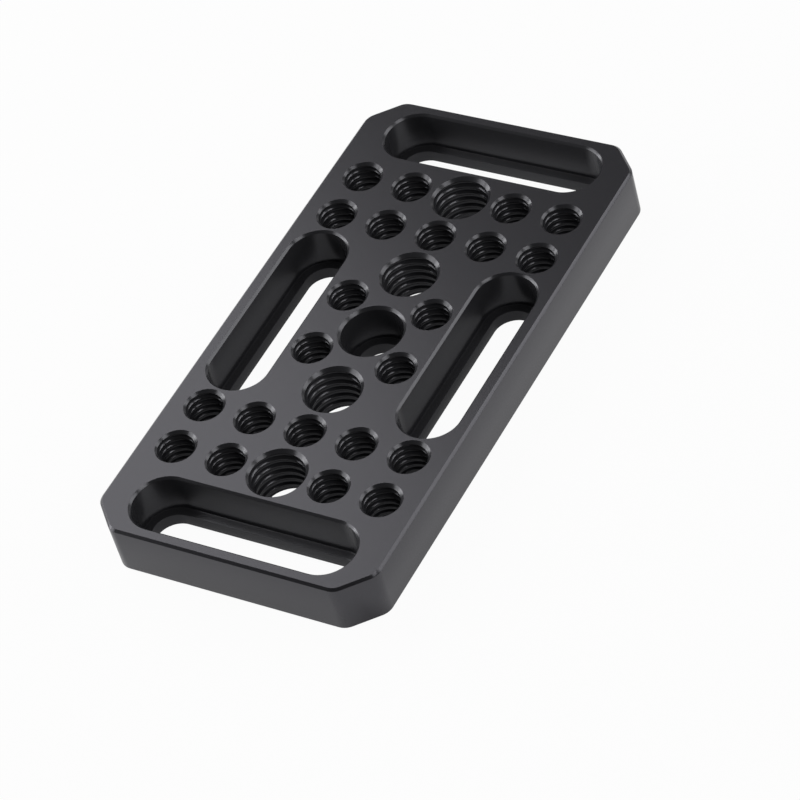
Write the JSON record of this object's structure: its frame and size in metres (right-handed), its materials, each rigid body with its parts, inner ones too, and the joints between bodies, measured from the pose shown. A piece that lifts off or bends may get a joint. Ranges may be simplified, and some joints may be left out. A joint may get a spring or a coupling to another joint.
{
  "type": "camera cage expansion plate",
  "caption": "Flat aluminium mounting plate with threaded through holes, stepped slots along its ends and sides, and a counterbored middle hole, for building up a camera rig.",
  "frame": {"origin": "middle of the plate's underside", "axes": "+X across the plate, +Y along its length, +Z out of its top face"},
  "size_m": [0.054, 0.107, 0.01],
  "materials": {
    "black_anodised": "satin black anodised, bead blasted before anodising"
  },
  "bodies": {
    "root": {"plate": "black_anodised"}
  },
  "joints": []
}
